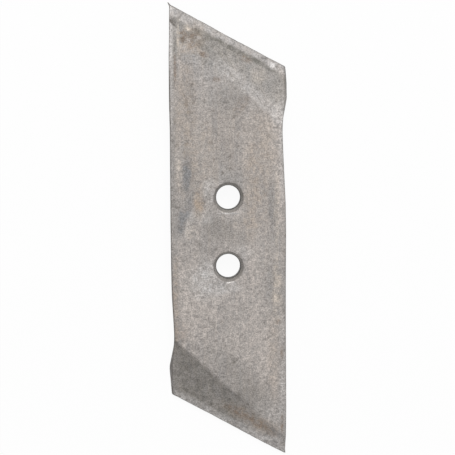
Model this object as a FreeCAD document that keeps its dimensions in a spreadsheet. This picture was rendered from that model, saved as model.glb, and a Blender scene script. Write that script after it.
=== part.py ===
"""Plough share: a reversible forged steel share point, in millimetres.

One flat bar, cut off slanting at both ends and drawn out thin to a cutting edge
at each. The bar looks the same after half a turn about the middle of its two bolt
holes, so a worn share is turned end for end. Forging spreads the metal at each
blunt corner into a flare, with a slight waist behind it.

Frame: the origin is midway between the bolt holes on the flat back, +Y runs along
the bar, +X across it, and +Z out of the worked face.
"""
import FreeCAD, Part
import Sketcher
import os

SIZES = {
    # the bar
    "bar_thickness": 12.0,
    "bar_width": 66.6,            # at the middle
    "bar_length": 226.6,          # between the cutting edges, along the centreline
    "edge_slant": 27.8,           # degrees from square across the bar
    "side_round": 1.3,            # rolled edges along both sides
    # each side, measured from half the bar's width
    "tip_spread": 0.7,            # how far the side widens to the sharp tip
    "waist_start": 16.0,          # past the middle, where the side turns in
    "neck_waist": 2.1,            # how far the neck is drawn in
    "neck_radius": 60.0,
    "flank_length": 18.0,         # along the bar, from neck to flare
    "flare_swell": 0.9,           # how far the flare stands out
    "flare_radius": 14.0,
    "flare_to_corner": 15.5,      # along the bar
    "corner_inset": 0.2,
    # the flared side leans in above a narrow upright rim at the back
    "flare_lean": 4.0,
    "flare_rim": 1.0,
    # the drawn-out ends: the face first eases down, from here to the cutting edge
    "ease_length": 46.0,
    "ease_past_corner": 5.8,      # how far down, just clear of the side with the blunt corner
    "ease_past_tip": 9.2,         # and just clear of the side with the sharp tip
    # then the hollow ramp: from the cutting edge to the ridge, along the bar
    "ramp_past_corner": 37.0,
    "ramp_at_middle": 25.8,
    "ramp_past_tip": 12.5,
    "ramp_hollow": 0.9,           # how far the ramp dips below a straight slope
    "lip_length": 5.0,            # the flatter strip behind the cutting edge
    "lip_rise": 1.6,
    "edge_thickness": 2.4,
    # the bolt holes and their tapered seats
    "hole_spacing": 40.0,
    "hole_diameter": 14.0,
    "seat_flare": 1.7,            # how far the seat opens all round the hole
    "seat_depth": 6.0,
    "seat_round": 0.7,
    # the thin burr left standing at one tip
    "burr_reach": 1.4,            # along the bar, beyond the tip
    "burr_lean": 1.0,             # across the bar, beyond the tip
    "burr_width": 1.1,
    "burr_thickness": 1.2,
}
OVERCUT = 4.0                     # how far a cutting shape stands clear of the bar


def cutting_edge_at(across):
    """How far along the bar the upper cutting edge stands, at a place across it."""
    return f"(Sizes.bar_length / 2 - ({across}) * tan(Sizes.edge_slant))"


# Places that several features share, as expressions of the sizes: half widths
# across the bar, and distances along it from the middle.
TIP_ACROSS = "(Sizes.bar_width / 2 + Sizes.tip_spread)"
NECK_ACROSS = "(Sizes.bar_width / 2 - Sizes.neck_waist)"
FLARE_ACROSS = "(Sizes.bar_width / 2 + Sizes.flare_swell)"
CORNER_ACROSS = "(Sizes.bar_width / 2 - Sizes.corner_inset)"
TIP_ALONG = cutting_edge_at(f"-{TIP_ACROSS}")
CORNER_ALONG = cutting_edge_at(CORNER_ACROSS)
FLARE_ALONG = f"({CORNER_ALONG} - Sizes.flare_to_corner)"
NECK_ALONG = f"({FLARE_ALONG} - Sizes.flank_length)"
# Where a cutting shape ends, clear of the bar
CLEAR_OF_SIDE = f"({TIP_ACROSS} + {OVERCUT})"
ABOVE = f"(Sizes.bar_thickness + {OVERCUT})"


def make_sheet(doc):
    """The driving dimensions, one named cell each."""
    sheet = doc.addObject("Spreadsheet::Sheet", "Sizes")
    for row, (name, value) in enumerate(SIZES.items(), start=1):
        sheet.set(f"A{row}", name)
        sheet.set(f"B{row}", str(value))
        sheet.setAlias(f"B{row}", name)
    doc.recompute()


def value_of(item, size):
    """What an expression of the sizes comes to."""
    return float(item.evalExpression(size))


def origin_feature(body, role):
    """The plane or axis of the body's own origin with this role."""
    return next(item for item in body.Origin.OriginFeatures if item.Role == role)


def new_sketch(body, name, role, height="0"):
    """An empty sketch on one of the body's origin planes, moved along its normal."""
    sketch = body.newObject("Sketcher::SketchObject", name)
    sketch.AttachmentSupport = [(origin_feature(body, role), "")]
    sketch.MapMode = "FlatFace"
    sketch.setExpression("AttachmentOffset.Base.z", height)
    return sketch


def bind(sketch, constraint, size):
    """Add a constraint whose value follows an expression of the sizes."""
    constraint = Sketcher.Constraint(*constraint, value_of(sketch, size))
    index = sketch.addConstraint(constraint)
    sketch.setExpression(f"Constraints[{index}]", size)


def bind_point(sketch, geometry, point, place):
    """Hold a point of the sketch at a pair of expressions."""
    bind(sketch, ("DistanceX", -1, 1, geometry, point), place[0])
    bind(sketch, ("DistanceY", -1, 1, geometry, point), place[1])


def draw_outline(sketch, corners, hollow=None):
    """A closed outline through corners, each a pair of expressions.

    With a hollow, the first edge is an arc that dips that far to its right.
    """
    points = [FreeCAD.Vector(*(value_of(sketch, size) for size in pair)) for pair in corners]
    edges = [Part.LineSegment(*ends) for ends in zip(points, points[1:] + points[:1])]
    if hollow:
        start, end = points[:2]
        across_chord = (end - start).cross(FreeCAD.Vector(0, 0, 1)).normalize()
        lowest = (start + end) / 2 + across_chord * value_of(sketch, hollow)
        edges[0] = Part.Arc(start, lowest, end)
    for edge in edges:
        sketch.addGeometry(edge, False)
    for number, corner in enumerate(corners):
        previous = (number - 1) % len(corners)
        sketch.addConstraint(Sketcher.Constraint("Coincident", previous, 2, number, 1))
        bind_point(sketch, number, 1, corner)
    if hollow:
        run, rise = (f"(({after}) - ({before}))" for before, after in zip(*corners[:2]))
        half_chord_squared = f"(({run})^2 + ({rise})^2) / 4"
        bind(sketch, ("Radius", 0), f"({half_chord_squared} + {hollow}^2) / (2 * {hollow})")


def bar_outline():
    """The outline of the bar: one side, and the same side after half a turn."""
    side = [
        (f"-{TIP_ACROSS}", TIP_ALONG),
        ("-Sizes.bar_width / 2", "-Sizes.waist_start"),
        (f"-{NECK_ACROSS}", f"-{NECK_ALONG}"),
        (f"-{FLARE_ACROSS}", f"-{FLARE_ALONG}"),
        (f"-{CORNER_ACROSS}", f"-{CORNER_ALONG}"),
    ]
    return side + [(f"-({across})", f"-({along})") for across, along in side]


def pad(body, name, outline, thickness):
    sketch = new_sketch(body, f"{name}Outline", "XY_Plane")
    draw_outline(sketch, outline)
    feature = body.newObject("PartDesign::Pad", name)
    feature.Profile = sketch
    feature.setExpression("Length", thickness)
    body.Document.recompute()


def round_edges(body, name, is_wanted, radius):
    """Fillet every edge of the body that passes a test."""
    feature = body.newObject("PartDesign::Fillet", name)
    base = feature.BaseFeature
    edges = enumerate(base.Shape.Edges, start=1)
    feature.Base = (base, [f"Edge{number}" for number, edge in edges if is_wanted(edge)])
    feature.setExpression("Radius", radius)
    body.Document.recompute()


def round_sides(body):
    """The rolled corners of the neck and flare, then the long edges they join."""
    def is_upright_at(across, along):
        place = FreeCAD.Vector(value_of(body, across), value_of(body, along), 0)

        def is_wanted(edge):
            ends = [FreeCAD.Vector(v.X, v.Y, 0) for v in edge.Vertexes]
            near = min((ends[0] - place).Length, (ends[0] + place).Length)
            return near < 1e-4 and (ends[0] - ends[1]).Length < 1e-4
        return is_wanted

    def runs_along_bar(edge):
        middle = (edge.FirstParameter + edge.LastParameter) / 2
        direction = edge.tangentAt(middle)
        return abs(direction.y) > 0.9

    round_edges(body, "NeckRound", is_upright_at(NECK_ACROSS, NECK_ALONG), "Sizes.neck_radius")
    round_edges(body, "FlareRound", is_upright_at(FLARE_ACROSS, FLARE_ALONG), "Sizes.flare_radius")
    round_edges(body, "SideRound", runs_along_bar, "Sizes.side_round")


def cut_between(body, name, sections, ruled):
    """Cut away the loft through closed sections."""
    feature = body.newObject("PartDesign::SubtractiveLoft", name)
    feature.Profile = sections[0]
    feature.Sections = [(section, [""]) for section in sections[1:]]
    feature.Ruled = ruled
    body.Document.recompute()
    return feature


def ease_section(body, name, across, drop):
    """Section along the bar of what is forged away where the face eases down."""
    edge = cutting_edge_at(across)
    sketch = new_sketch(body, name, "YZ_Plane", across)
    draw_outline(sketch, [
        (f"{edge} + {OVERCUT}", f"Sizes.bar_thickness - {drop}"),
        (f"{edge} - Sizes.ease_length", "Sizes.bar_thickness"),
        (f"{edge} - Sizes.ease_length", ABOVE),
        (f"{edge} + {OVERCUT}", ABOVE),
    ], hollow=f"{drop} / 4")
    return sketch


def ease_end_down(body):
    """The rounded slope ahead of the ramp, drawn down most at the sharp tip."""
    return cut_between(body, "Ease", [
        ease_section(body, "EaseTip", f"-{CLEAR_OF_SIDE}", "Sizes.ease_past_tip"),
        ease_section(body, "EaseCorner", CLEAR_OF_SIDE, "Sizes.ease_past_corner"),
    ], ruled=True)


def ramp_section(body, name, across, ramp_length):
    """Section along the bar of what is forged away above the ramp and the lip."""
    edge = cutting_edge_at(across)
    lip_slope = "Sizes.lip_rise / Sizes.lip_length"
    sketch = new_sketch(body, name, "YZ_Plane", across)
    draw_outline(sketch, [
        (f"{edge} - {ramp_length}", "Sizes.bar_thickness"),
        (f"{edge} - Sizes.lip_length", "Sizes.edge_thickness + Sizes.lip_rise"),
        (f"{edge} + {OVERCUT}", f"Sizes.edge_thickness - {OVERCUT} * {lip_slope}"),
        (f"{edge} + {OVERCUT}", ABOVE),
        (f"{edge} - {ramp_length}", ABOVE),
    ], hollow="Sizes.ramp_hollow")
    return sketch


def draw_out_end(body):
    """The hollow ramp, widest at the blunt corner, and the lip at its foot."""
    return cut_between(body, "Ramp", [
        ramp_section(body, "RampTip", f"-{CLEAR_OF_SIDE}", "Sizes.ramp_past_tip"),
        ramp_section(body, "RampMiddle", "0", "Sizes.ramp_at_middle"),
        ramp_section(body, "RampCorner", CLEAR_OF_SIDE, "Sizes.ramp_past_corner"),
    ], ruled=False)


def lean_section(body, name, from_corner):
    """Section across the bar of what the leaning flared side leaves off.

    from_corner is the distance back along the bar from the blunt corner.
    """
    swell = f"({FLARE_ACROSS} - {CORNER_ACROSS}) / Sizes.flare_to_corner"
    rim_across = f"({CORNER_ACROSS} + ({from_corner}) * {swell})"
    slope = "Sizes.flare_lean / (Sizes.bar_thickness - Sizes.flare_rim)"
    below = f"(Sizes.flare_rim - {OVERCUT})"
    outer = f"{rim_across} + {OVERCUT} * {slope}"
    inner = f"{rim_across} - ({ABOVE} - Sizes.flare_rim) * {slope}"
    sketch = new_sketch(body, name, "XZ_Plane", f"({from_corner}) - {CORNER_ALONG}")
    draw_outline(sketch, [(outer, below), (outer, ABOVE), (inner, ABOVE)])
    return sketch


def lean_flare(body):
    """The flared side, spread wider at the back than at the face."""
    past_neck = f"Sizes.flare_to_corner + Sizes.flank_length + {OVERCUT}"
    return cut_between(body, "FlareLean", [
        lean_section(body, "LeanStart", past_neck),
        lean_section(body, "LeanEnd", f"-{OVERCUT}"),
    ], ruled=True)


def repeat_at_other_end(body, features):
    pattern = body.newObject("PartDesign::PolarPattern", "OtherEnd")
    pattern.Originals = features
    pattern.Axis = (origin_feature(body, "Z_Axis"), [""])
    pattern.Angle = 360
    pattern.Occurrences = 2
    body.Tip = pattern
    body.Document.recompute()


def punch_bolt_holes(body):
    """Two through holes, each opening into a tapered seat for the bolt's head."""
    sketch = new_sketch(body, "HoleCentres", "XY_Plane", "Sizes.bar_thickness")
    for number, side in enumerate(("1", "-1")):
        place = ("0", f"{side} * Sizes.hole_spacing / 2")
        centre = FreeCAD.Vector(*(value_of(sketch, size) for size in place))
        radius = value_of(sketch, "Sizes.hole_diameter / 2")
        sketch.addGeometry(Part.Circle(centre, FreeCAD.Vector(0, 0, 1), radius), False)
        bind_point(sketch, number, 3, place)
        bind(sketch, ("Diameter", number), "Sizes.hole_diameter")
    body.Document.recompute()
    holes = body.newObject("PartDesign::Hole", "BoltHoles")
    holes.Profile = sketch
    body.Document.recompute()
    holes.DepthType = "ThroughAll"
    holes.setExpression("Diameter", "Sizes.hole_diameter")
    holes.HoleCutType = "Countersink"
    holes.HoleCutCustomValues = True
    holes.setExpression("HoleCutDiameter", "Sizes.hole_diameter + 2 * Sizes.seat_flare")
    holes.setExpression("HoleCutCountersinkAngle", "2 * atan(Sizes.seat_flare / Sizes.seat_depth)")
    body.Document.recompute()

    def is_seat_rim(edge):
        is_circle = isinstance(edge.Curve, Part.Circle)
        return is_circle and edge.Curve.Radius > radius and len(edge.Vertexes) == 1

    round_edges(body, "SeatRound", is_seat_rim, "Sizes.seat_round")


def leave_burr(body):
    """The thin burr that stands out past one sharp tip."""
    beside_tip = f"(Sizes.burr_width - {TIP_ACROSS})"
    pad(body, "Burr", [
        (f"-({TIP_ACROSS} + Sizes.burr_lean)", f"{TIP_ALONG} + Sizes.burr_reach"),
        (f"-{TIP_ACROSS}", f"{TIP_ALONG} - Sizes.burr_width"),
        (beside_tip, f"{TIP_ALONG} - 2 * Sizes.burr_width"),
        (beside_tip, cutting_edge_at(beside_tip)),
    ], "Sizes.burr_thickness")


def make_share(doc):
    body = doc.addObject("PartDesign::Body", "PloughShare")
    body.Label = "plough_share"
    pad(body, "Bar", bar_outline(), "Sizes.bar_thickness")
    round_sides(body)
    repeat_at_other_end(body, [ease_end_down(body), draw_out_end(body), lean_flare(body)])
    punch_bolt_holes(body)
    leave_burr(body)
    return body


def check(doc, body):
    """Stop before anything is written if a feature failed or the solid is unsound."""
    failed = [item.Name for item in doc.Objects if {"Invalid", "Error"} & set(item.State)]
    if failed:
        raise RuntimeError(f"these features failed: {', '.join(failed)}")
    shape = body.Shape
    if shape.isNull() or not shape.isValid() or len(shape.Solids) != 1:
        raise RuntimeError(f"{body.Label} isn't one sound solid")
    volumes = [item.Shape.Volume for item in body.Group if item.isDerivedFrom("PartDesign::Feature")]
    print(f"{body.Label}: {len(shape.Faces)} faces, {shape.Volume / 1000:.1f} cm3")
    print("volume after each feature:", [round(volume) for volume in volumes])


def main():
    doc = FreeCAD.newDocument("PloughShare")
    make_sheet(doc)
    body = make_share(doc)
    doc.recompute()
    check(doc, body)
    os.makedirs("parts", exist_ok=True)
    body.Shape.exportStep(f"parts/{body.Label}.step")


main()
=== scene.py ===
"""Looks of the plough share: one bar of forged steel, lying on its flat back.

An even mesh on the solid's surface takes the marks of forging, the worn cutting
edges and the pits. A few masks on the same mesh say where each finish lies: scale,
rust, bloom and rubbed metal, some with painted shade and painted highlights. Places are in millimetres, X
across and Y along.
"""

import math

import bpy
import numpy as np
from mathutils import Matrix, Vector, noise


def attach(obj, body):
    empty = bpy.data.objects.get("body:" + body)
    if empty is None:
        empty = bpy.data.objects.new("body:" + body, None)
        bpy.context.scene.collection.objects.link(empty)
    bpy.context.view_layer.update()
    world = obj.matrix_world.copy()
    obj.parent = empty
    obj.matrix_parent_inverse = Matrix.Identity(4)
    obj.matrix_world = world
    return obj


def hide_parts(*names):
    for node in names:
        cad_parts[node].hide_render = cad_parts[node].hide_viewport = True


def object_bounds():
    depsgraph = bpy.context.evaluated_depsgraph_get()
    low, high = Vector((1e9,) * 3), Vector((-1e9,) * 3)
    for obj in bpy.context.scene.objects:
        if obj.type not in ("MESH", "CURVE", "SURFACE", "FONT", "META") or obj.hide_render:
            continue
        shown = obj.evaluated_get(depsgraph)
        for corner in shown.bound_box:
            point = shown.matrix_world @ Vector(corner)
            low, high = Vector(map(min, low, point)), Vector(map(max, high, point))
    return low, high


MM = 0.001

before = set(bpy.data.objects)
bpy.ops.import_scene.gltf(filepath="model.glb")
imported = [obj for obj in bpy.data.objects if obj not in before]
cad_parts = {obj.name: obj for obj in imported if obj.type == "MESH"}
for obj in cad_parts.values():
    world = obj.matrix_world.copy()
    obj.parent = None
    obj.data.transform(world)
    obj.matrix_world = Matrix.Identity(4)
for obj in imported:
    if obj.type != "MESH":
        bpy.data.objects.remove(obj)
CAD_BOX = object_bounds()

# ---------------------------------------------------------------- the forged bar

MESH_STEP = 0.66 * MM        # quad size: fine enough for pits and nicked edges

HALF_LENGTH = 113.3          # along the centreline, to the cutting edge
EDGE_SLANT = math.radians(27.8)
RAMP_AT_MIDDLE = 22.5        # from the cutting edge to the ridge, along the bar
RAMP_WIDENS = 0.40           # the same for each mm nearer to the blunt corner
RIDGE_SLANT = math.radians(43)
TIP = (34.0, 131.2)          # where a side meets the cutting edge
BURR_TIP = (-35.0, 132.6)
# how far each side stands out from the straight bar, at places along it
LEFT_SIDE = ((-92, 0), (-78, 0.3), (-67, -0.1), (-57, 0.3), (-36, 0.55), (-15, 0), (5, 0.15),
             (59, 0.16), (75, 0.5), (101, 0.5), (112, 0.2), (125, 0.1))
RIGHT_SIDE = ((-118, -0.1), (-57, -0.25), (-25, -0.2), (0, 0), (17, -0.2), (48, -0.35),
              (66, -0.2), (76, 0.45), (93, 0.45), (101, 0.1))
HOLE_CENTRES = ((0.0, 20.0), (0.0, -20.0))
HOLE_RADIUS = 7.0
SEAT_RADIUS = 8.7

# The marks of making: size of the lumps, depth on the flat and more depth on the ramps
HAMMERED = (27, 0.05, 0.16)
FACETED = (11, 0.05, 0.14)
ROLLED = ((3.2, 48, 3.2), 0.05, -0.05)
PITTED = (2.6, 0.05, 0.05)
GROOVE_DEPTH = 0.28
SCAR_DEPTH = 0.16
HOLLOW_DEPTH = 0.14
# How far the cutting edges are worn back: all along, in long waves, and in short nicks
EDGE_WEAR = 0.06
EDGE_WAVES = (9, 0.1)
EDGE_NICKS = (2.4, 0.16)
# How much less, beside the upper left tip and towards the lower right one
UPPER_TIP_KEPT = 0.35
LOWER_TIP_KEPT = 0.6


def copy_as_even_mesh(name, node):
    """An evenly meshed copy of a CAD node, its points lying on the CAD surface."""
    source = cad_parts[node]
    even = source.copy()
    even.data = source.data.copy()
    even.parent = None
    bpy.context.scene.collection.objects.link(even)
    remesh = even.modifiers.new("even_quads", "REMESH")
    remesh.mode = "VOXEL"
    remesh.voxel_size = MESH_STEP
    wrap = even.modifiers.new("back_on_surface", "SHRINKWRAP")
    wrap.target = source
    wrap.wrap_method = "NEAREST_SURFACEPOINT"
    depsgraph = bpy.context.evaluated_depsgraph_get()
    mesh = bpy.data.meshes.new_from_object(even.evaluated_get(depsgraph))
    bpy.data.objects.remove(even)
    mesh.name = name
    mesh.materials.clear()
    mesh.shade_smooth()
    piece = bpy.data.objects.new(name, mesh)
    bpy.context.scene.collection.objects.link(piece)
    return piece


def read_points(mesh, field):
    """The mesh's point positions or normals, one row each."""
    source = mesh.vertices if field == "co" else mesh.vertex_normals
    values = np.empty(len(source) * 3)
    source.foreach_get(field if field == "co" else "vector", values)
    return values.reshape(-1, 3)


def rise(value, start, stop):
    """0 below start, 1 above stop, and smooth between them."""
    part = np.clip((value - start) / (stop - start), 0, 1)
    return part * part * (3 - 2 * part)


def band(value, start, stop, soft):
    """1 between start and stop, fading out over soft on each side."""
    return rise(value, start - soft, start) * (1 - rise(value, stop, stop + soft))


def lumps(points, size, seed):
    """Smooth noise, about -1 to 1, with lumps of a size: one number, or one each way."""
    scaled = points / np.array(size, dtype=float) + 31.7 * seed
    return np.array([noise.noise(point) for point in scaled.tolist()])


def draw_out(points, tip, reach):
    """Draw the mesh out to a sharp tip that even quads would leave blunt."""
    nearest = points[np.argmin(np.hypot(*(points[:, :2] - tip).T)), :2].copy()
    pull = np.clip(1 - np.hypot(*(points[:, :2] - nearest).T) / reach, 0, 1)
    points[:, :2] += pull[:, None] * (tip - nearest)


class Places:
    """Where each point of the bar lies, in the words of the share's own shape."""

    def __init__(self, points, normals):
        self.points = points
        self.across, self.along, self.up = points.T
        self.from_top_edge = self.from_edge(self.across, self.along)
        self.from_bottom_edge = self.from_edge(-self.across, -self.along)
        self.past_top_ridge = self.past_ridge(self.across, self.along)
        self.past_bottom_ridge = self.past_ridge(-self.across, -self.along)
        self.facing_up = rise(normals[:, 2], 0.25, 0.6)
        self.facing_down = rise(-normals[:, 2], 0.25, 0.6)
        self.facing_out = 1 - self.facing_up - self.facing_down
        self.shaded_side_edge = rise(1 - normals[:, 2], 0.04, 0.3) * rise(np.abs(self.across), 29, 31)
        self.from_hole = np.min([
            np.hypot(self.across - x, self.along - y) for x, y in HOLE_CENTRES], axis=0)
        self.pits = rise(lumps(points, PITTED[0], 4), 0.28, 0.62)
        self.ragged = 0.25 * lumps(points, 5, 5)     # how the borders of spots wander

    @staticmethod
    def from_edge(across, along):
        """Square distance in from the upper cutting edge."""
        return (HALF_LENGTH - across * math.tan(EDGE_SLANT) - along) * math.cos(EDGE_SLANT)

    @staticmethod
    def past_ridge(across, along):
        """Square distance past the upper ridge, on to the ramp."""
        edge = HALF_LENGTH - across * math.tan(EDGE_SLANT)
        ridge = edge - RAMP_AT_MIDDLE - RAMP_WIDENS * across
        return (along - ridge) * math.cos(RIDGE_SLANT)

    def spot(self, across, along, half_across, half_along, turn=0.0, soft=0.55):
        """A soft-edged oval patch, 1 at its middle."""
        angle = math.radians(turn)
        x, y = self.across - across, self.along - along
        u = (x * math.cos(angle) + y * math.sin(angle)) / half_across
        v = (y * math.cos(angle) - x * math.sin(angle)) / half_along
        return 1 - rise(np.hypot(u, v) + self.ragged, 1 - soft, 1 + soft)


def pressed_in(at):
    """How deep the marks of forging, rolling and rust go at each point, in mm."""
    ramp = np.maximum(rise(at.past_top_ridge, -2, 3), rise(at.past_bottom_ridge, -2, 3))
    depth = (PITTED[1] + PITTED[2] * ramp) * at.pits
    for seed, (size, on_flat, more_on_ramp) in enumerate((HAMMERED, FACETED, ROLLED), 1):
        depth += (on_flat + more_on_ramp * ramp) * (0.5 + 0.5 * lumps(at.points, size, seed))
    depth *= 1 - 0.75 * at.facing_down - 0.6 * at.facing_out
    # the groove that the hammer left behind the upper lip
    groove = band(at.from_top_edge, 4.6, 6.2, 1.8) * band(at.across, -20, 27, 6)
    # two shallow scars beside the left edge and the rolled hollow beside the right one
    scars = at.spot(-24.5, 33, 2.4, 10, -3) + at.spot(-25.5, 10, 2.6, 11, -12)
    hollow = band(at.across, 21.5, 25, 1.8) * band(at.along, -55, 45, 12)
    marks = GROOVE_DEPTH * groove + SCAR_DEPTH * scars + HOLLOW_DEPTH * hollow
    return depth + marks * at.facing_up


def worn_back(at):
    """How far each point stands back from its unworn cutting edge, in mm."""
    run = at.across * math.cos(EDGE_SLANT) - at.along * math.sin(EDGE_SLANT)
    on_edge = np.stack([run, np.sign(at.along) * 40, np.zeros_like(run)], axis=1)
    (wave_size, wave_depth), (nick_size, nick_depth) = EDGE_WAVES, EDGE_NICKS
    wear = EDGE_WEAR + wave_depth * lumps(on_edge, wave_size, 6)
    wear += nick_depth * np.maximum(lumps(on_edge, nick_size, 7), 0)
    upper = at.along > 0
    wear -= np.where(
        upper,
        UPPER_TIP_KEPT * (1 - rise(at.across, -22, 2)),
        LOWER_TIP_KEPT * rise(at.across, -18, 22))
    from_edge = np.where(upper, at.from_top_edge, at.from_bottom_edge)
    return wear * (1 - rise(from_edge, 1.0, 4.0)) * np.where(upper, 1.0, -1.0)


def forge(mesh):
    """Give the mesh the marks of forging, rolling and wear, within the solid's own box."""
    points = read_points(mesh, "co") / MM
    normals = read_points(mesh, "normal")
    at = Places(points, normals)     # its places follow the points as they move
    points -= pressed_in(at)[:, None] * normals
    back = worn_back(at)
    points[:, 0] -= back * math.sin(EDGE_SLANT)
    points[:, 1] -= back * math.cos(EDGE_SLANT)
    left, right = (np.interp(at.along, *zip(*side)) for side in (LEFT_SIDE, RIGHT_SIDE))
    points[:, 0] += np.where(at.across < 0, -left, right) * rise(np.abs(at.across), 26, 33)
    draw_out(points, (-TIP[0], TIP[1]), 2.5)
    draw_out(points, (TIP[0], -TIP[1]), 3.0)
    draw_out(points, BURR_TIP, 1.5)
    lowest, highest = (np.array(corner) / MM for corner in CAD_BOX)
    np.clip(points, lowest, highest, out=points)
    mesh.vertices.foreach_set("co", (points * MM).ravel())
    mesh.update()
    return at


# ---------------------------------------------------------------- where each finish lies

# (across, along, half width, half length, turn in degrees, strength)
PATCHES = {
    "pale_bloom": [
        (-24, -32, 9, 36, 0, 0.6), (18, -60, 12, 40, 0, 0.5), (-14, -38, 9, 16, 0, 0.45),
        (25, -88, 7, 30, 0, 0.45), (-3, -52, 24, 26, 0, 0.45), (30, 40, 4, 40, 0, 0.6),
        (-16, 52, 4, 44, 0, 0.3), (19, 30, 13, 48, 0, 0.4), (12, -8, 18, 24, 0, 0.4),
        (-8, 58, 6, 26, 0, 0.15), (8, 66, 10, 20, 0, 0.2),
    ],
    "tan_bloom": [
        (-25, 60, 6, 42, 0, 0.3), (20, 45, 6, 40, 3, 0.25), (0, 62, 14, 26, 0, 0.1),
        (-17, 16, 3, 9, 0, 0.7), (13, 22, 4, 26, 0, 0.3), (12, 5, 10, 3, 5, 0.2),
        (26, -74, 3, 26, 0, 0.2), (-16, 40, 8, 20, 0, 0.2), (-20, 110, 7, 9, -25, 0.5),
        (-31, -40, 2, 26, 0, 0.4), (6, -106, 12, 4, -28, 0.4), (20, -114, 8, 5, -28, 0.5),
    ],
    # the two long thin strips by the left edge, at across -32.5 and -32, are painted shade on the edge
    # that faces away from the lamp
    "dark_scale_and_shade": [
        (2, 78, 8, 10, -35, 0.2), (-6, 2, 8, 5, 0, 0.3), (6, -3, 8, 4, 0, 0.15),
        (-4, -99, 12, 8, -33, 0.25), (-22, -96, 10, 14, -20, 0.12), (22, 92, 9, 5, -30, 0.35),
        (-30.5, 113, 3, 11, 0, 0.5), (-9, 99, 9, 6, -28, 0.3), (0, -76, 14, 6, -38, 0.15),
        (-26, 112, 2.6, 4, 0, 0.4), (-32.5, 20, 1.2, 60, 0, 0.3), (24, -24, 4, 12, 0, 0.1),
        (14, -98, 12, 10, -35, 0.22), (-32, 96, 1.2, 12, 0, 0.3),
    ],
    "blue_scale": [
        (-24.5, 33, 2.7, 10, -3, 0.8), (-25.5, 10, 2.9, 11, -12, 0.8), (25, 18, 2.6, 15, 0, 0.45),
        (24, -32, 3.2, 13, 0, 0.35), (-22, 100, 5, 3.2, 0, 0.55), (27, -2, 4, 8, 0, 0.25),
        (-3, 78, 7, 8, 0, 0.3), (4, 30, 8, 5, 0, 0.25), (-8, 92, 10, 6, -30, 0.25),
        (16, 88, 12, 9, -35, 0.25), (14, 76, 10, 6, -40, 0.25),
    ],
    # the two thin crescents just under the holes, at along 11 and -29, are painted highlights on the
    # holes' lower lips
    "rubbed_and_highlights": [
        (24, -104, 8, 7, -28, 0.25), (30, -124, 3, 6, 0, 0.3), (20, -120, 12, 2.5, -28, 0.3),
        (-15, 8.5, 5, 4, 0, 0.3), (0.3, 11.0, 4.8, 0.5, 0, 0.9), (-13, -28, 9, 10, 0, 0.55),
        (25.4, 96, 2.2, 1.4, -40, 0.9), (29, 70, 4, 9, 30, 0.2), (-11, 24, 4, 7, 0, 0.4),
        (-1, -32, 8, 3, 0, 0.4), (0.5, -29.0, 5, 0.5, 0, 0.5), (31.5, 48, 2, 26, 0, 0.4),
        (-22.5, 5, 2, 8, -12, 0.3), (-28, 40, 2, 10, 0, 0.25), (31.5, -90, 1.6, 34, 0, 0.35),
        (-17, 112, 1.4, 1, -28, 0.5), (5, -14, 9, 5, 20, 0.3),
    ],
    "rust": [
        (-21, 110.6, 5.5, 5, -20, 0.35), (-14, 102.2, 2.6, 1.6, -25, 0.5), (-6.7, 87.8, 2.6, 1.4, 0, 0.4),
        (-26.6, 112.8, 2, 3.6, 0, 0.4), (6, -106, 8, 2.6, -28, 0.4), (18, -113, 5, 2.8, -28, 0.4),
        (25, -118, 4, 2.6, -28, 0.3), (8, 74, 3, 7, -40, 0.2), (-30.8, 94, 0.8, 7, 0, 0.4),
        (10, 100, 4, 1.6, -28, 0.4), (-32.6, -45, 0.9, 18, 0, 0.5), (31, -70, 1, 4, 0, 0.5),
        (31.4, -112, 0.8, 6, 0, 0.5), (28.6, -52, 1.4, 1.4, 0, 0.5), (-28.6, -58, 5, 6, 0, 0.2),
    ],
    "cream_bloom": [
        (27.8, 8, 1.6, 30, 0, 0.3), (28, -34, 2.6, 15, 0, 0.5), (-28.9, 112, 0.7, 8, 0, 0.6),
        (-23.7, 117.4, 2.2, 1.4, -28, 0.6), (-28.2, 34, 1.4, 9, 0, 0.4), (-22, 2, 3, 5, 0, 0.3),
        (17, 90, 4, 5, 0, 0.25),
    ],
}


# How strongly each finish lies on the forms themselves
GROOVE_SCALE = 0.7
UPPER_RAMP_SCALE = (0.5, 0.38)       # at the left and at the right
# the lower ramp's dark is partly scale and partly painted shade, where the ramp faces away from the lamp
LOWER_RAMP_SCALE_AND_SHADE = 0.46
LIP_BLUE_SCALE = 0.3
# the lighter band on the upper ridge is partly rubbed metal and partly a painted highlight where the
# ridge rounds over towards the lamp
RIDGE_RUBBED_AND_HIGHLIGHT = 0.25
LOWER_LIP_RUBBED = 0.4
# painted shade on the rounded side edges, heavier on the left side, which faces away from the lamp
ROLLED_EDGE_SHADE = (0.85, 0.3)      # on the left side and on the right
# painted shade in the hole seats
SEAT_SHADE_COVER = 0.8
PIT_COVER = 0.6


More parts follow.
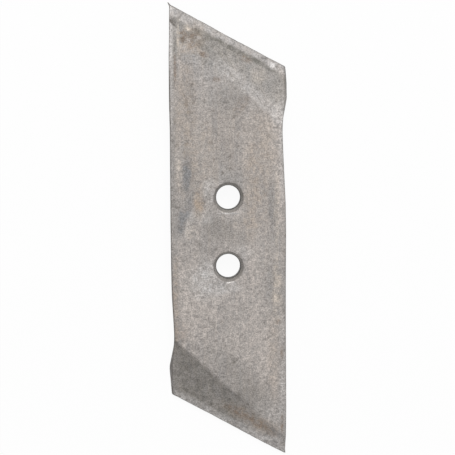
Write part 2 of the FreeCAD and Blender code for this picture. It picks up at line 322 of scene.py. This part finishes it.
def finish_the_ends(at, masks):
    """Scale and rubbed metal as they lie on the lips, the ramps and the upper ridge, with painted shade
    on the lower ramp and a painted highlight on the upper ridge.
    """
    top_edge = at.from_top_edge + 1.4 * at.ragged
    bottom_edge = at.from_bottom_edge + 1.4 * at.ragged
    top_ridge = at.past_top_ridge + 1.6 * at.ragged
    bottom_ridge = at.past_bottom_ridge + 1.6 * at.ragged
    to_right = rise(at.across, -25, 25)
    # the upper end: dark in the groove, scaled between groove and ridge, rubbed on the ridge, where the
    # lighter band is also a painted highlight
    groove = band(top_edge, 4.3, 6.4, 1.2) * band(at.across, -20, 26, 4)
    scale_starts = 6.0 * rise(at.across, -16, 6)
    upper_ramp = rise(top_ridge, scale_starts - 3, scale_starts + 1.5) * rise(top_edge, 4.5, 6)
    at_left, at_right = UPPER_RAMP_SCALE
    upper_ramp *= at_left + (at_right - at_left) * to_right
    # painted highlight, partly rubbed metal: a lighter band along the upper ridge, stronger towards the
    # right
    ridge = band(top_ridge, -0.5, 3.8, 2.0) * (0.25 + 0.75 * to_right)
    upper_lip = 1 - rise(top_edge, 3.0, 4.8)
    # the lower end: dark right up to the ridge, partly scale and partly painted shade where the ramp
    # faces away from the lamp, with a paler lip that turns up beside the corner
    lower_ramp_scale_and_shade = rise(bottom_ridge, -0.6, 1.4) * (1 - 0.95 * rise(at.across, -2, 18))
    lower_lip = 1 - rise(np.minimum(bottom_edge, at.across + 36), 2.6, 5.0)
    dark = np.maximum.reduce([
        masks["dark_scale_and_shade"], GROOVE_SCALE * groove, upper_ramp, LOWER_RAMP_SCALE_AND_SHADE * lower_ramp_scale_and_shade])
    masks["dark_scale_and_shade"] = dark * (1 - upper_lip) * (1 - 0.6 * lower_lip)
    masks["blue_scale"] = np.maximum(masks["blue_scale"], LIP_BLUE_SCALE * upper_lip)
    masks["rubbed_and_highlights"] = np.maximum.reduce([
        masks["rubbed_and_highlights"], RIDGE_RUBBED_AND_HIGHLIGHT * ridge, LOWER_LIP_RUBBED * lower_lip])


def finish_back_and_sides(at, masks):
    """More rolling scale than on the face, with bloom and rust in streaks, and painted shade on the sides
    and the rounded side edges.
    """
    rolled = lumps(at.points, (7, 60, 7), 14)
    blotches = lumps(at.points, 20, 15)
    rusty = rise(lumps(at.points, (6, 13, 6), 16), 0.25, 0.6)
    masks["dark_scale_and_shade"] += at.facing_down * 0.45 * rise(blotches + 0.6 * rolled, -0.5, 0.5)
    masks["tan_bloom"] += at.facing_down * 0.7 * rise(rolled - blotches, -0.1, 0.6)
    masks["rust"] += at.facing_down * 0.5 * rusty
    # painted shade: the sides darker where they face outwards, broken by the rolling scale, and the
    # rounded side edges darker still
    shaded_side_edge = at.shaded_side_edge * np.where(at.across < 0, *ROLLED_EDGE_SHADE)
    masks["side_shade_and_scale"] = np.maximum(
        at.facing_out * (0.55 + 0.3 * rolled) * rise(at.from_hole, 9, 12),
        shaded_side_edge * (1 - at.facing_down))


def lay_finishes(at):
    """Each finish's share of the surface, from 0 to 1, point by point."""
    at.ragged = 0.3 * lumps(at.points, 4.5, 11) + 0.2 * lumps(at.points, 1.9, 12)
    masks = {}
    for finish, patches in PATCHES.items():
        left_bare = np.ones(len(at.points))
        for *place, strength in patches:
            left_bare *= 1 - strength * at.spot(*place)
        masks[finish] = 1 - left_bare
    finish_the_ends(at, masks)
    for finish in masks:
        masks[finish] *= 1 - at.facing_down
    masks["pitting"] = PIT_COVER * at.pits
    finish_back_and_sides(at, masks)
    # painted shade in the holes: the seats a little darker and the bores much darker than the face
    masks["seat"] = SEAT_SHADE_COVER * (1 - rise(at.from_hole, SEAT_RADIUS - 0.4, SEAT_RADIUS + 0.1))
    masks["bore_shade"] = 1 - rise(at.from_hole, HOLE_RADIUS + 0.2, HOLE_RADIUS + 0.5)
    return {finish: np.clip(mask, 0, 1) for finish, mask in masks.items()}


share = copy_as_even_mesh("forged_share", "plough_share")
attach(share, "root")
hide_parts("plough_share")
share_places = forge(share.data)
for finish_name, finish_mask in lay_finishes(share_places).items():
    layer = share.data.attributes.new(finish_name, "FLOAT", "POINT")
    layer.data.foreach_set("value", finish_mask)


# ---------------------------------------------------------------- forged steel


def linear(colour):
    """An sRGB hex colour as the linear numbers that a shader takes."""
    parts = [int(colour[place:place + 2], 16) / 255 for place in (1, 3, 5)]
    return [
        part / 12.92 if part <= 0.04045 else ((part + 0.055) / 1.055) ** 2.4
        for part in parts] + [1.0]


def add_node(tree, kind, inputs, **settings):
    """One node with its settings; each input is a value or the output that feeds it."""
    node = tree.nodes.new(kind)
    for name, value in settings.items():
        setattr(node, name, value)
    for socket, value in inputs.items():
        if isinstance(value, bpy.types.NodeSocket):
            tree.links.new(value, node.inputs[socket])
        else:
            node.inputs[socket].default_value = value
    return node


STEEL_ROUGHNESS = 0.56               # dulled all over by scale
STEEL_METAL = 0.3
BUMP_DEPTH = 0.06 * MM
# Each finish over the dulled steel: colour, how unevenly it lies (0 to 1), roughness, metal
FINISHES = {
    "pitting": ("#6F6A64", 0.4, 0.7, 0.1),
    "pale_bloom": ("#B8B0AA", 0.5, 0.62, 0.2),
    "tan_bloom": ("#A6988A", 0.6, 0.66, 0.15),
    # partly painted shade: the lower ramp and the thin strips along the left edge
    "dark_scale_and_shade": ("#69665F", 0.5, 0.58, 0.25),
    "blue_scale": ("#8A8989", 0.6, 0.5, 0.35),
    # partly painted highlights: the upper ridge and the thin crescents under the holes
    "rubbed_and_highlights": ("#C3C0BE", 0.6, 0.48, 0.35),
    "rust": ("#7B6A5C", 0.8, 0.8, 0.0),
    "cream_bloom": ("#C4B9AD", 0.7, 0.7, 0.05),
    # painted shade on the sides and rounded side edges, partly rolling scale
    "side_shade_and_scale": ("#6A6560", 0.6, 0.6, 0.25),
    # painted shade in the hole seats and bores
    "seat": ("#96918B", 0.4, 0.6, 0.25),
    "bore_shade": ("#4E4B47", 0.3, 0.6, 0.25),
}


def forged_steel():
    """Forged steel, dulled: scale and fine rust over metal that has been rubbed bare.

    Hammered hot and left to cool, so it is grey, matt and speckled, with streaks along
    the way the bar was rolled, and only the rubbed places have a soft shine. Some masks
    also carry painted light: painted shade on the lower ramp, the sides and in the holes,
    and painted highlights on the upper ridge and under the holes.
    """
    material = bpy.data.materials.new("forged_steel_with_scale")
    material.use_nodes = True
    tree = material.node_tree
    tree.nodes.clear()
    place = add_node(tree, "ShaderNodeTexCoord", {}).outputs["Object"]
    in_mm = add_node(
        tree, "ShaderNodeVectorMath", {0: place, "Scale": 1 / MM}, operation="SCALE").outputs[0]
    along_bar = add_node(
        tree, "ShaderNodeMapping", {"Vector": in_mm, "Scale": (1, 0.06, 1)},
        vector_type="POINT").outputs[0]

    def speckled(vector, size, detail, low, high):
        """A speckled pattern with lumps of a size in mm, stretched to run from 0 to 1."""
        lumpy = add_node(tree, "ShaderNodeTexNoise", {
            "Vector": vector, "Scale": 1 / size, "Detail": detail, "Roughness": 0.6})
        return add_node(tree, "ShaderNodeMapRange", {
            "Value": lumpy.outputs[0], "From Min": low, "From Max": high}).outputs[0]

    # The real grain of scale is about 0.2 mm; it is drawn at 0.75 mm, so that it shows
    grain = speckled(in_mm, 0.75, 1, 0.3, 0.7)
    fleck = speckled(in_mm, 1.9, 2, 0.3, 0.7)
    mottle = speckled(in_mm, 4.5, 4, 0.34, 0.66)
    cloud = speckled(in_mm, 19, 2, 0.3, 0.7)
    streak = speckled(along_bar, 2.6, 3, 0.3, 0.7)

    # the dulled steel, in clouds of two greys with tan streaks over them
    colour = add_node(tree, "ShaderNodeMix", {
        "Factor": cloud, "A": linear("#9C9896"), "B": linear("#ADA9A6")},
        data_type="RGBA").outputs["Result"]
    streak_cover = add_node(
        tree, "ShaderNodeMath", {0: streak, 1: 0.6}, operation="MULTIPLY").outputs[0]
    colour = add_node(tree, "ShaderNodeMix", {
        "Factor": streak_cover, "A": colour, "B": linear("#A89F97")},
        data_type="RGBA").outputs["Result"]
    roughness, metal = STEEL_ROUGHNESS, STEEL_METAL

    # each finish over it, thick and thin with the flecks
    flecks = add_node(tree, "ShaderNodeMath", {0: fleck, 1: mottle}, operation="ADD").outputs[0]
    broken = add_node(tree, "ShaderNodeMapRange", {
        "Value": flecks, "From Min": 0.5, "From Max": 1.5}).outputs[0]
    for finish, (finish_colour, uneven, finish_roughness, finish_metal) in FINISHES.items():
        mask = add_node(tree, "ShaderNodeAttribute", {}, attribute_name=finish).outputs["Fac"]
        cover = add_node(tree, "ShaderNodeMapRange", {
            "Value": broken, "To Min": 1 - uneven, "To Max": 1 + uneven}).outputs[0]
        factor = add_node(
            tree, "ShaderNodeMath", {0: mask, 1: cover},
            operation="MULTIPLY", use_clamp=True).outputs[0]
        colour = add_node(tree, "ShaderNodeMix", {
            "Factor": factor, "A": colour, "B": linear(finish_colour)},
            data_type="RGBA").outputs["Result"]
        roughness = add_node(tree, "ShaderNodeMix", {
            "Factor": factor, "A": roughness, "B": finish_roughness}).outputs["Result"]
        metal = add_node(tree, "ShaderNodeMix", {
            "Factor": factor, "A": metal, "B": finish_metal}).outputs["Result"]

    # the speckle that runs through all of them
    speckle = None
    for pattern, contrast in ((grain, 0.32), (fleck, 0.18), (streak, 0.07)):
        shade = add_node(tree, "ShaderNodeMapRange", {
            "Value": pattern, "To Min": 1 - contrast, "To Max": 1 + contrast}).outputs[0]
        speckle = shade if speckle is None else add_node(
            tree, "ShaderNodeMath", {0: speckle, 1: shade}, operation="MULTIPLY").outputs[0]
    colour = add_node(
        tree, "ShaderNodeVectorMath", {0: colour, "Scale": speckle}, operation="SCALE").outputs[0]
    height = add_node(
        tree, "ShaderNodeMath", {0: grain, 1: 0.6, 2: mottle}, operation="MULTIPLY_ADD").outputs[0]
    bump = add_node(tree, "ShaderNodeBump", {
        "Height": height, "Strength": 0.5, "Distance": BUMP_DEPTH}).outputs[0]
    steel = add_node(tree, "ShaderNodeBsdfPrincipled", {
        "Base Color": colour, "Roughness": roughness, "Metallic": metal, "Normal": bump})
    add_node(tree, "ShaderNodeOutputMaterial", {"Surface": steel.outputs[0]})
    return material


share.data.materials.append(forged_steel())

# ---------------------------------------------------------------- floor, light and camera


FLOOR_SIZE = 6
PAPER_WHITE = (0.85, 0.85, 0.85, 1)
PAPER_GLOW = 0.94                    # the share of white that the camera sees without light
WORLD_STRENGTH = 0.55
SOFTBOX_PLACE = (0.1, 1.6, 1.7)
SOFTBOX_SIZE = 1.2
SOFTBOX_POWER = 33
CAMERA_AIM = Vector((-0.2, 2.02, 0)) * MM
CAMERA_LEANS_LEFT = math.radians(2.2)
CAMERA_LEANS_UP = math.radians(4.0)
CAMERA_DISTANCE = 0.88
LENS = 119.06


def add_floor():
    """A white floor that the camera and the steel both see as white, with a faint shadow."""
    bpy.ops.mesh.primitive_plane_add(size=FLOOR_SIZE)
    floor = bpy.context.object
    floor.name = "floor"
    material = bpy.data.materials.new("matt_white_paper")
    material.use_nodes = True
    tree = material.node_tree
    tree.nodes.clear()
    path = add_node(tree, "ShaderNodeLightPath", {})
    seen = add_node(tree, "ShaderNodeMath", {
        0: path.outputs["Is Camera Ray"], 1: path.outputs["Is Glossy Ray"]}, operation="MAXIMUM")
    glow_share = add_node(
        tree, "ShaderNodeMath", {0: seen.outputs[0], 1: PAPER_GLOW}, operation="MULTIPLY")
    paper = add_node(tree, "ShaderNodeBsdfDiffuse", {"Color": PAPER_WHITE})
    glow = add_node(tree, "ShaderNodeEmission", {})
    mixed = add_node(tree, "ShaderNodeMixShader", {
        "Fac": glow_share.outputs[0], 1: paper.outputs[0], 2: glow.outputs[0]})
    add_node(tree, "ShaderNodeOutputMaterial", {"Surface": mixed.outputs[0]})
    floor.data.materials.append(material)


def light_scene():
    """Even white light all round, and one large lamp over the upper end."""
    world = bpy.context.scene.world or bpy.data.worlds.new("studio")
    bpy.context.scene.world = world
    world.use_nodes = True
    background = world.node_tree.nodes["Background"]
    background.inputs["Color"].default_value = (1, 1, 1, 1)
    background.inputs["Strength"].default_value = WORLD_STRENGTH
    data = bpy.data.lights.new("key_softbox", "AREA")
    data.shape = "DISK"
    data.size = SOFTBOX_SIZE
    data.energy = SOFTBOX_POWER
    lamp = bpy.data.objects.new("key_softbox", data)
    lamp.location = SOFTBOX_PLACE
    lamp.rotation_euler = Vector(SOFTBOX_PLACE).to_track_quat("Z", "Y").to_euler()
    bpy.context.scene.collection.objects.link(lamp)


def add_camera():
    """Nearly square above the face, a little towards the upper left."""
    toward = Vector((-math.tan(CAMERA_LEANS_LEFT), math.tan(CAMERA_LEANS_UP), 1)).normalized()
    data = bpy.data.cameras.new("camera")
    data.lens = LENS
    data.sensor_width = 36
    camera = bpy.data.objects.new("camera", data)
    camera.location = CAMERA_AIM + toward * CAMERA_DISTANCE
    right = Vector((0, 1, 0)).cross(toward).normalized()
    up = toward.cross(right)
    camera.rotation_euler = Matrix((right, up, toward)).transposed().to_euler()
    bpy.context.scene.collection.objects.link(camera)
    bpy.context.scene.camera = camera


bpy.context.scene.view_settings.view_transform = "Standard"
add_floor()
light_scene()
add_camera()
